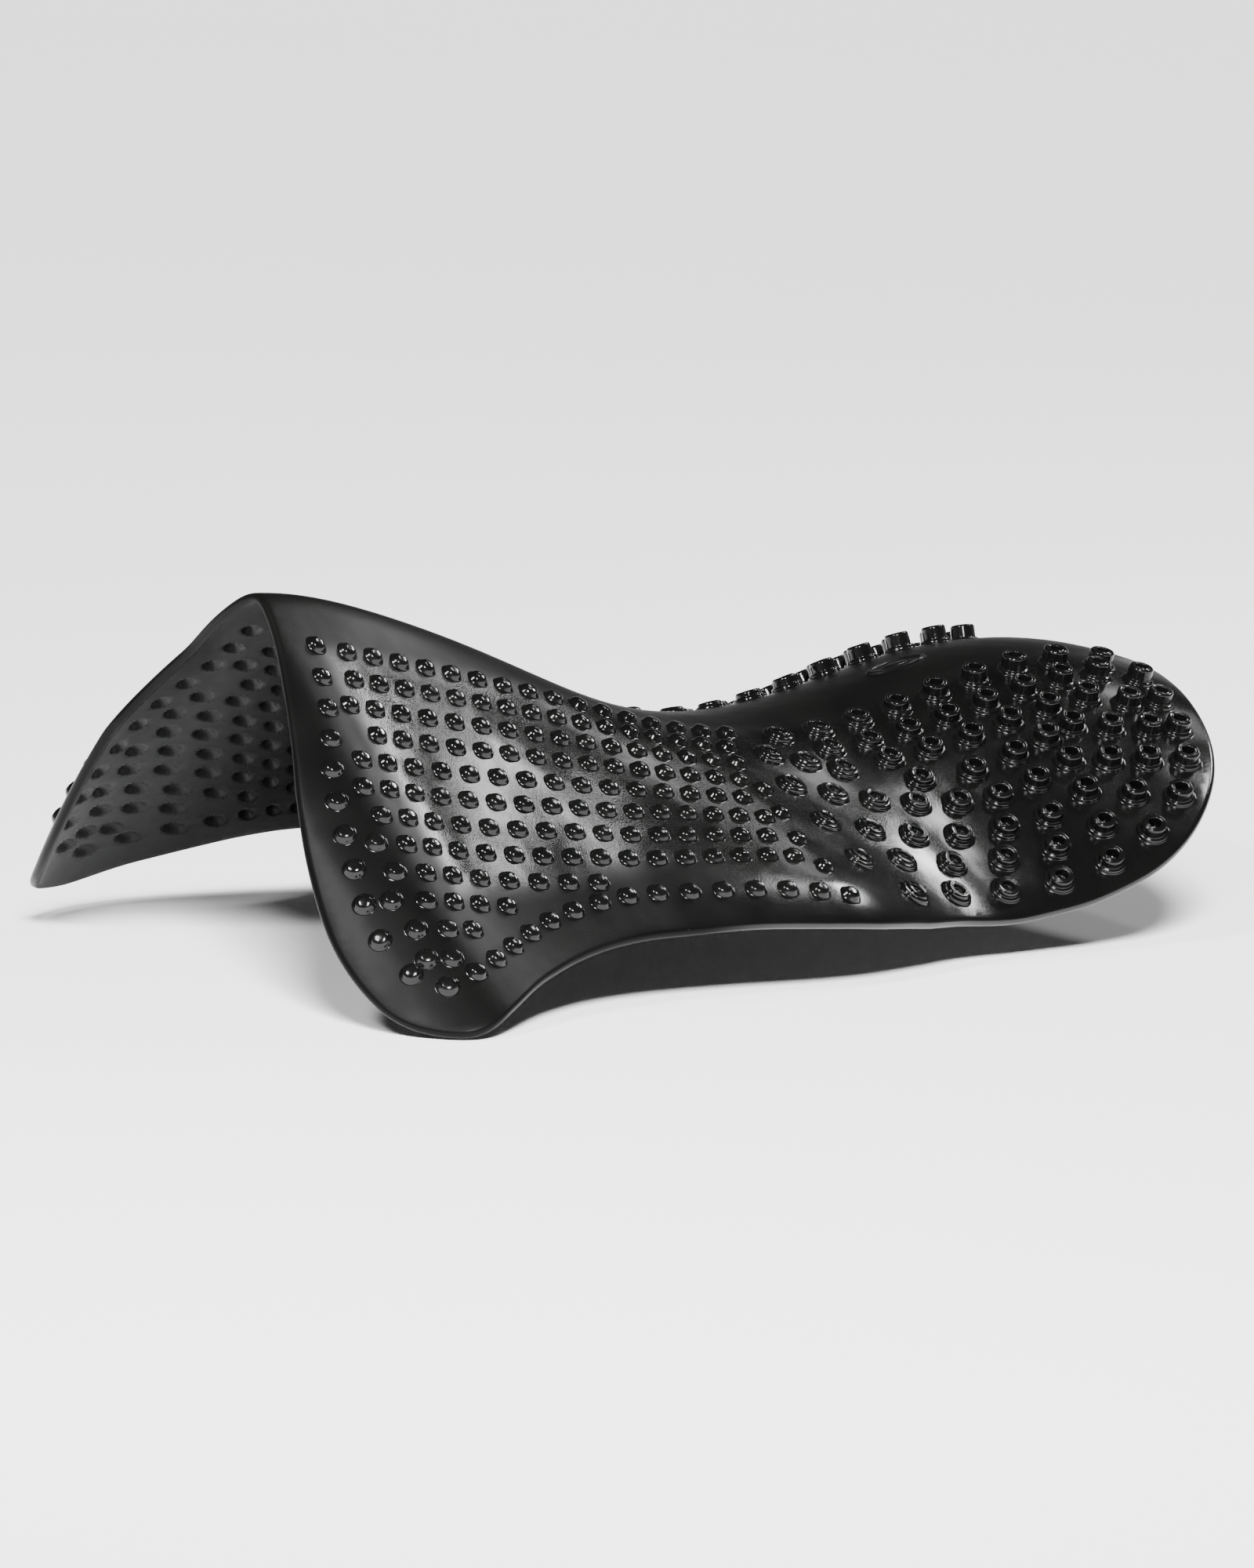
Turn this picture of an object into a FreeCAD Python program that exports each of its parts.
"""Gel saddle pad: one soft moulding that is draped over a horse's back.

Frame: +X towards the tail end, +Y towards the right flap, +Z up. The origin is under the lowest
point of the spine. A place on the pad is given as (a, s): a is the distance along the crest of the
spine from the withers end, s is the distance from the crest down one side, both in millimetres.
"""
import FreeCAD, Part
import math
import os
from FreeCAD import Vector

# ---- driving dimensions, in millimetres and degrees ----
SHEET = 4.5                # thickness of the gel sheet
RIM_WIDTH = 5.5            # width of the smooth bead round the outline
SPINE_HALF = 8.0           # half the width of the spine strip
FLAP_START = 20.0          # the flaps begin this far from the crest
WEB_GAP = 0.3              # clearance between a bending web and its flap
WALL_LENGTH = 6            # places of an outline in one length of a cutting wall
SURFACE_MARGIN = 14.0      # the sheet surface is laid out this far past the outline, then trimmed

CREST_STATIONS = [0, 60, 120, 180, 240, 300, 360, 420, 480]
CREST_SLOPE = [11, -12.5, -20.5, -23, -9.5, 5.5, 11.5, 0.5, -19]

SIDE_STATIONS = [0, 60, 130, 220, 320, 480]
SIDE_SLOPE = [38, 47, 38, 28, 32, 8]            # how steeply the flaps hang beside the crest
SIDE_BEND = [4, -5, -2.5, -2, 5, 12]            # further turn of the flap per 100 mm of width
SIDE_DROOP = [0, 0, 8, 30, 10, 0]               # the lower margin turns down by this much more
DROOP_FROM = 135.0
DROOP_OVER = 45.0
# the pad lies slightly twisted: the front of the right flap is spread out and swept back
RIGHT_SPREAD = [12, 11, 0, 5, 0, 0]             # at SIDE_STATIONS, how much flatter, in degrees
RIGHT_ROLL = [7, 7, -2, 0, 0, 0]                # extra bend per 100 mm of width, in degrees
RIGHT_SWEEP = [0.14, 0.34, 0.28, 0.14, 0, 0]    # mm towards the tail per mm of width
SWEEP_FROM_CREST = 60.0                         # the sweep has come in fully at this width
ROUNDING_STATIONS = [0, 130, 280, 480]
CREST_ROUNDING = [9, 13, 60, 42]                # distance over which the crest rounds into the flap

CURL_ANGLE = 45.0          # the front edge of each flap turns in by this much
CURL_WIDTH = 34.0
CURL_START = 56.0          # full curl from this far down the flap

# outline of one flap from the withers arch, round the front lobe, to the tail, as (a, s)
OUTLINE = [
    (30, 0), (26, 22), (18, 50), (8, 83), (-1, 114), (-8, 150), (-11, 185), (-7, 212), (1, 223),
    (15, 227), (35, 217), (64, 198), (94, 183), (125, 175), (162, 172), (206, 173), (232, 171),
    (262, 164), (293, 158), (329, 162), (358, 166), (386, 165), (408, 156), (430, 137), (447, 113),
    (464, 76), (474, 46), (480, 20), (482, 0),
]

# massage domes: rows at a constant distance from the crest, as (first a, last a, count)
DOME_FIRST_ROW = 32.0
DOME_ROW_PITCH = 14.4
DOME_ROWS = [
    (57, 252, 16), (53, 241, 16), (43, 236, 16), (49, 227, 15), (33, 218, 15), (26, 219, 16),
    (27, 210, 15), (18, 213, 16), (19, 113, 8), (12, 64, 5), (15, 39, 3), (13, 22, 2),
]
LOOSE_DOMES = [(235, 81), (231, 99), (225, 119), (224, 139)]
BORDER_FRONT = [(42, 31), (30, 65), (16, 99), (8, 133), (2, 176), (6, 197)]
BORDER_FRONT_COUNT = 11
BORDER_LOWER = [(15, 204), (40, 192), (85, 166), (126, 154), (166, 153), (225, 157)]
BORDER_LOWER_COUNT = 16
DOME_RADIUS = 4.3
DOME_HEIGHT = 2.6
DOME_TOP_RADIUS = 2.4

# ring studs of the rear riser: guide curve, count and last spacing over first spacing
RING_ROWS = [
    ([(276, 36), (340, 36), (417, 38), (440, 44)], 9, 1.0),
    ([(259, 52), (274, 58), (288, 65)], 3, 1.0),
    ([(292, 50), (330, 52), (372, 54), (431, 53)], 8, 1.0),
    ([(313, 64), (354, 68), (413, 69)], 6, 1.0),
    ([(253, 76), (288, 86), (328, 98), (352, 103), (382, 100)], 8, 1.0),
    ([(318, 80), (350, 86), (395, 83)], 5, 0.57),
    ([(252, 102), (290, 108), (339, 118), (362, 121), (394, 110), (409, 91)], 9, 0.95),
    ([(251, 128), (281, 124), (331, 132), (361, 137), (390, 132), (422, 102), (428, 78)], 10, 0.75),
    ([(268, 146), (300, 143), (366, 153), (405, 143), (432, 112), (448, 60)], 11, 0.8),
]
RING_FLANGE_RADIUS = 6.8
RING_FLANGE_HEIGHT = 1.6
RING_COLLAR_RADIUS = 5.1
RING_WELL_RADIUS = 2.7
RING_WELL_FLOOR = 0.8      # height of the floor of the well above the sheet
RING_LOW = 2.8             # height of the first rings behind the domes
RING_TALL = 8.0            # height of the rings at the tail
RISE_START = 270.0
RISE_LENGTH = 130.0
RISE_FALL_OUT = 0.35       # how much lower the rings get towards the lower edge
MID_RINGS_FROM = 300.0
TALL_RINGS_FROM = 370.0
STUD_ROOT = 1.0            # depth that every stud is sunk into the sheet

EMBLEM_AT = 367.0
EMBLEM_LENGTH = 30.0
EMBLEM_WIDTH = 12.0
EMBLEM_LINE = 1.6
EMBLEM_HEIGHT = 1.0

DIP = 252.0                # the crest is lowest here


def between(stations, values, x):
    """Smooth curve through the values, level past both ends."""
    if x <= stations[0]:
        return float(values[0])
    if x >= stations[-1]:
        return float(values[-1])
    last = len(stations) - 1
    i = max(k for k in range(last) if stations[k] <= x)

    def tangent(k):
        low = max(k - 1, 0)
        high = min(k + 1, last)
        return (values[high] - values[low]) / (stations[high] - stations[low])

    step = stations[i + 1] - stations[i]
    t = (x - stations[i]) / step
    first = values[i] * (2 * t**3 - 3 * t**2 + 1) + values[i + 1] * (3 * t**2 - 2 * t**3)
    second = tangent(i) * (t**3 - 2 * t**2 + t) + tangent(i + 1) * (t**3 - t**2)
    return first + step * second


def ease(t):
    t = min(max(t, 0.0), 1.0)
    return t * t * (3 - 2 * t)


def crest_table():
    """(x, z) of the crest at every millimetre of a, from a = 0."""
    places = [(0.0, 0.0)]
    for k in range(520):
        slope = math.radians(between(CREST_STATIONS, CREST_SLOPE, k + 0.5))
        x, z = places[-1]
        places.append((x + math.cos(slope), z + math.sin(slope)))
    return places


CREST = crest_table()


def crest(a):
    if a < 0:
        slope = math.radians(CREST_SLOPE[0])
        return a * math.cos(slope), a * math.sin(slope)
    k = min(int(a), len(CREST) - 2)
    t = a - k
    x = CREST[k][0] * (1 - t) + CREST[k + 1][0] * t
    z = CREST[k][1] * (1 - t) + CREST[k + 1][1] * t
    return x, z


def raw_point(a, s):
    """Top surface of the sheet. s is negative on the left flap."""
    side = -1 if s < 0 else 1
    width = abs(s)
    x, z = crest(a)
    slope = math.radians(between(SIDE_STATIONS, SIDE_SLOPE, a))
    bend = math.radians(between(SIDE_STATIONS, SIDE_BEND, a)) / 100
    droop = math.radians(between(SIDE_STATIONS, SIDE_DROOP, a))
    rounding = between(ROUNDING_STATIONS, CREST_ROUNDING, a)
    if side > 0:
        slope -= math.radians(between(SIDE_STATIONS, RIGHT_SPREAD, a))
        bend += math.radians(between(SIDE_STATIONS, RIGHT_ROLL, a)) / 100
        sweep = between(SIDE_STATIONS, RIGHT_SWEEP, a)
        x += sweep * width * ease(width / SWEEP_FROM_CREST)
    steps = 24
    y = 0.0
    drop = 0.0
    for k in range(steps):
        here = width * (k + 0.5) / steps
        angle = slope * math.tanh(here / rounding) + bend * here
        angle += droop * ease((here - DROOP_FROM) / DROOP_OVER)
        y += math.cos(angle) * width / steps
        drop += math.sin(angle) * width / steps
    ahead = max(0.0, (CURL_WIDTH - a) / CURL_WIDTH)
    curl = math.tan(math.radians(CURL_ANGLE)) * CURL_WIDTH * ahead**2 / 2
    y -= curl * ease(width / CURL_START)
    return Vector(x, side * y, z - drop)


def normal(a, s):
    """Outward normal of the sheet."""
    step = 0.5
    along = raw_point(a + step, s) - raw_point(a - step, s)
    across = raw_point(a, s + step) - raw_point(a, s - step)
    out = along.cross(across)
    out.normalize()
    return out


UNDER_DIP = raw_point(DIP, 0) - normal(DIP, 0) * SHEET


def place(a, s, height=0.0):
    """A point at a height above the sheet, or below it when negative, in the pad's own frame."""
    return raw_point(a, s) + normal(a, s) * height - UNDER_DIP


def span(low, high, most):
    """Evenly spaced values from low to high, at most that far apart."""
    count = int(math.ceil((high - low) / most))
    return [low + (high - low) * k / count for k in range(count + 1)]


def curve_points(guide, per_span=12):
    """Points along a smooth curve through the guide points."""
    chain = [0.0]
    for p, q in zip(guide, guide[1:]):
        chain.append(chain[-1] + math.hypot(q[0] - p[0], q[1] - p[1]))
    a_values = [p[0] for p in guide]
    s_values = [p[1] for p in guide]
    points = []
    for k in range(len(guide) - 1):
        for j in range(per_span):
            t = chain[k] + (chain[k + 1] - chain[k]) * j / per_span
            points.append((between(chain, a_values, t), between(chain, s_values, t)))
    points.append(tuple(guide[-1]))
    return points


def stations(guide, count, ratio=1.0):
    """count places along the curve; the spacing changes evenly from the first to ratio times it."""
    points = curve_points(guide)
    chain = [0.0]
    for p, q in zip(points, points[1:]):
        chain.append(chain[-1] + math.hypot(q[0] - p[0], q[1] - p[1]))
    gaps = [1 + (ratio - 1) * k / max(count - 2, 1) for k in range(count - 1)]
    places = []
    walked = 0.0
    for k in range(count):
        t = chain[-1] * walked / sum(gaps)
        i = min(max(j for j in range(len(points)) if chain[j] <= t + 1e-9), len(points) - 2)
        f = (t - chain[i]) / (chain[i + 1] - chain[i])
        p, q = points[i], points[i + 1]
        places.append((p[0] + (q[0] - p[0]) * f, p[1] + (q[1] - p[1]) * f))
        if k < count - 1:
            walked += gaps[k]
    return places


def sheet_solid(s_low, s_high):
    """The sheet between two distances from the crest, longer than the pad at both ends."""
    a_values = span(min(OUTLINE)[0] - SURFACE_MARGIN, OUTLINE[-1][0] + SURFACE_MARGIN, 14.0)
    s_values = span(s_low, s_high, 10.0)
    skins = []
    for height in (0.0, -SHEET):
        skin = Part.BSplineSurface()
        skin.interpolate([[place(a, s, height) for s in s_values] for a in a_values])
        skins.append(skin)
    faces = [skin.toShape() for skin in skins]
    u_low, u_high, v_low, v_high = skins[0].bounds()
    w_low, w_high, t_low, t_high = skins[1].bounds()
    edges = [
        (skins[0].uIso(u_low), skins[1].uIso(w_low)),
        (skins[0].uIso(u_high), skins[1].uIso(w_high)),
        (skins[0].vIso(v_low), skins[1].vIso(t_low)),
        (skins[0].vIso(v_high), skins[1].vIso(t_high)),
    ]
    for upper, lower in edges:
        faces += Part.makeRuledSurface(upper.toShape(), lower.toShape()).Faces
    shell = Part.makeShell(faces)
    shell.sewShape(1e-4)
    solid = Part.makeSolid(Part.Shell(shell.Faces))
    if solid.Volume < 0:
        solid.reverse()
    return solid


def inset(points, distance):
    """The outline moved inwards by a distance."""
    moved = []
    for k, (a, s) in enumerate(points):
        before = points[max(k - 1, 0)]
        after = points[min(k + 1, len(points) - 1)]
        da = after[0] - before[0]
        ds = after[1] - before[1]
        size = math.hypot(da, ds)
        moved.append((a + distance * ds / size, s - distance * da / size))
    return moved


def whole_outline(distance):
    """The outline of the pad, inset, as one open chain per half: front to tail on the right."""
    return inset(curve_points(OUTLINE, 3), distance)


def cutting_wall(points, side):
    """A wall square to the sheet on a chain of (a, s) places, in short lengths."""
    rails = []
    for height in (6.0, -SHEET - 6.0):
        rail = Part.BSplineCurve()
        rail.interpolate([place(a, side * s, height) for a, s in points])
        rails.append(rail)
    upper, lower = rails
    ends = list(range(0, len(points) - 1, WALL_LENGTH)) + [len(points) - 1]
    faces = []
    for k, m in zip(ends, ends[1:]):
        top = upper.toShape(upper.getKnots()[k], upper.getKnots()[m])
        bottom = lower.toShape(lower.getKnots()[k], lower.getKnots()[m])
        faces += Part.makeRuledSurface(top, bottom).Faces
    wall = Part.makeShell(faces)
    wall.sewShape(1e-5)
    return wall


def cross_spine(points, reach):
    """The stretch of a half outline near the crest, mirrored across it."""
    near = [p for p in points if 0.5 < p[1] < reach]
    near.sort(key=lambda p: p[1])
    at_crest = (near[0][0], 0.0)
    return [(a, -s) for a, s in reversed(near)] + [at_crest] + near


def piece_at(pieces, a, s):
    """The solid that holds the middle of the sheet at a place."""
    probe = place(a, s, -SHEET / 2)
    for solid in pieces.Solids:
        if solid.isInside(probe, 1e-3, False):
            return solid
    raise ValueError("no piece of the sheet at %s, %s" % (a, s))


def flap(side):
    """The flap and the bead round its edge."""
    slab = sheet_solid(side * FLAP_START, side * 236.0) if side > 0 else sheet_solid(-236.0, -FLAP_START)
    outer = cutting_wall([p for p in whole_outline(0.0) if p[1] > FLAP_START - 12], side)
    inner = cutting_wall([p for p in whole_outline(RIM_WIDTH) if p[1] > FLAP_START - 12], side)
    pieces, history = slab.generalFuse([outer, inner])
    bead = piece_at(pieces, 200, side * (173 - RIM_WIDTH / 2))
    return piece_at(pieces, 200, side * 100), bead


def web(side):
    """The strip that bends between the spine and a flap."""
    low, high = SPINE_HALF, FLAP_START - WEB_GAP
    slab = sheet_solid(low, high) if side > 0 else sheet_solid(-high, -low)
    half = whole_outline(0.0)
    front = [p for p in half[: len(half) // 2] if p[1] < FLAP_START + 16]
    tail = [p for p in half[len(half) // 2:] if p[1] < FLAP_START + 16]
    walls = [cutting_wall(front, side), cutting_wall(tail, side)]
    pieces, history = slab.generalFuse(walls)
    return piece_at(pieces, 200, side * (low + high) / 2)


def spine():
    """The spine strip, the bead over the withers arch and the bead at the tail."""
    slab = sheet_solid(-SPINE_HALF, SPINE_HALF)
    walls = []
    for distance in (0.0, RIM_WIDTH):
        half = whole_outline(distance)
        middle = len(half) // 2
        walls.append(cutting_wall(cross_spine(half[:middle], 30), 1))
        walls.append(cutting_wall(cross_spine(half[middle:], 30), 1))
    pieces, history = slab.generalFuse(walls)
    arch = piece_at(pieces, OUTLINE[0][0] + RIM_WIDTH / 2, 0)
    tail = piece_at(pieces, OUTLINE[-1][0] - RIM_WIDTH / 2, 0)
    return piece_at(pieces, 200, 0), arch, tail


def turned(profile):
    """A solid of revolution about Z from a closed profile of (radius, height) corners."""
    corners = [Vector(r, 0, z) for r, z in profile]
    wire = Part.makePolygon(corners + [corners[0]])
    return Part.Face(wire).revolve(Vector(0, 0, 0), Vector(0, 0, 1), 360)


def dome():
    shoulder = DOME_TOP_RADIUS + 0.3
    return turned([
        (0, -STUD_ROOT), (DOME_RADIUS, -STUD_ROOT), (DOME_RADIUS, 0),
        (shoulder, DOME_HEIGHT - 0.3), (DOME_TOP_RADIUS, DOME_HEIGHT), (0, DOME_HEIGHT),
    ])


def ring(height):
    crown = 0.8
    chamfer = 0.5
    return turned([
        (0, -STUD_ROOT), (RING_FLANGE_RADIUS, -STUD_ROOT),
        (RING_FLANGE_RADIUS, RING_FLANGE_HEIGHT - chamfer),
        (RING_FLANGE_RADIUS - chamfer, RING_FLANGE_HEIGHT),
        (RING_COLLAR_RADIUS, RING_FLANGE_HEIGHT), (RING_COLLAR_RADIUS, height - crown),
        (RING_COLLAR_RADIUS - crown, height), (RING_WELL_RADIUS + chamfer, height),
        (RING_WELL_RADIUS, height - chamfer), (RING_WELL_RADIUS, RING_WELL_FLOOR),
        (0, RING_WELL_FLOOR),
    ])


def stand(shape, a, s):
    """A stud stood on the sheet, square to it."""
    shape.Placement = FreeCAD.Placement(place(a, s), FreeCAD.Rotation(Vector(0, 0, 1), normal(a, s)))
    return shape


def ring_height(a, s):
    rise = ease((a - RISE_START) / RISE_LENGTH)
    return RING_LOW + (RING_TALL - RING_LOW) * rise * (1 - RISE_FALL_OUT * s / 140)


def field_domes():
    places = list(LOOSE_DOMES)
    for k, (first, last, count) in enumerate(DOME_ROWS):
        s = DOME_FIRST_ROW + DOME_ROW_PITCH * k
        places += [(first + (last - first) * j / (count - 1), s) for j in range(count)]
    return places


def border_domes():
    return stations(BORDER_FRONT, BORDER_FRONT_COUNT) + stations(BORDER_LOWER, BORDER_LOWER_COUNT)


def ring_places(low, high):
    places = []
    for guide, count, ratio in RING_ROWS:
        places += [p for p in stations(guide, count, ratio) if low <= p[0] < high]
    return places


def emblem():
    """A plain raised oval on the spine."""
    oval = Part.Face(Part.Wire(Part.Ellipse(Vector(0, 0, 0), EMBLEM_LENGTH / 2, EMBLEM_WIDTH / 2).toShape()))
    hole = Part.Face(Part.Wire(Part.Ellipse(
        Vector(0, 0, 0), EMBLEM_LENGTH / 2 - EMBLEM_LINE, EMBLEM_WIDTH / 2 - EMBLEM_LINE).toShape()))
    band = oval.cut(hole).extrude(Vector(0, 0, STUD_ROOT + EMBLEM_HEIGHT))
    slope = between(CREST_STATIONS, CREST_SLOPE, EMBLEM_AT)
    turn = FreeCAD.Rotation(Vector(0, 1, 0), -slope)
    band.Placement = FreeCAD.Placement(place(EMBLEM_AT, 0, -STUD_ROOT), turn)
    return band


def save(name, shape):
    shape.exportStep("parts/%s.step" % name)
    print("%-24s %3d solids %9.0f mm3 valid %s" % (name, len(shape.Solids), shape.Volume, shape.isValid()))


os.makedirs("parts", exist_ok=True)

strip, arch_bead, tail_bead = spine()
save("spine_bridge", strip)
save("withers_arch_bead", arch_bead)
save("tail_bead", tail_bead)
save("spine_emblem", emblem())

for hand, side in (("left", -1), ("right", 1)):
    save(hand + "_flex_web", web(side))
    panel, bead = flap(side)
    save(hand + "_flap_panel", panel)
    save(hand + "_rim_bead", bead)
    domes = [stand(dome(), a, side * s) for a, s in field_domes()]
    save(hand + "_massage_domes", Part.makeCompound(domes))
    domes = [stand(dome(), a, side * s) for a, s in border_domes()]
    save(hand + "_border_domes", Part.makeCompound(domes))
    groups = (("low", 0.0, MID_RINGS_FROM), ("mid", MID_RINGS_FROM, TALL_RINGS_FROM),
              ("tall", TALL_RINGS_FROM, 999.0))
    for size, low, high in groups:
        rings = [stand(ring(ring_height(a, s)), a, side * s) for a, s in ring_places(low, high)]
        save("%s_%s_ring_studs" % (hand, size), Part.makeCompound(rings))
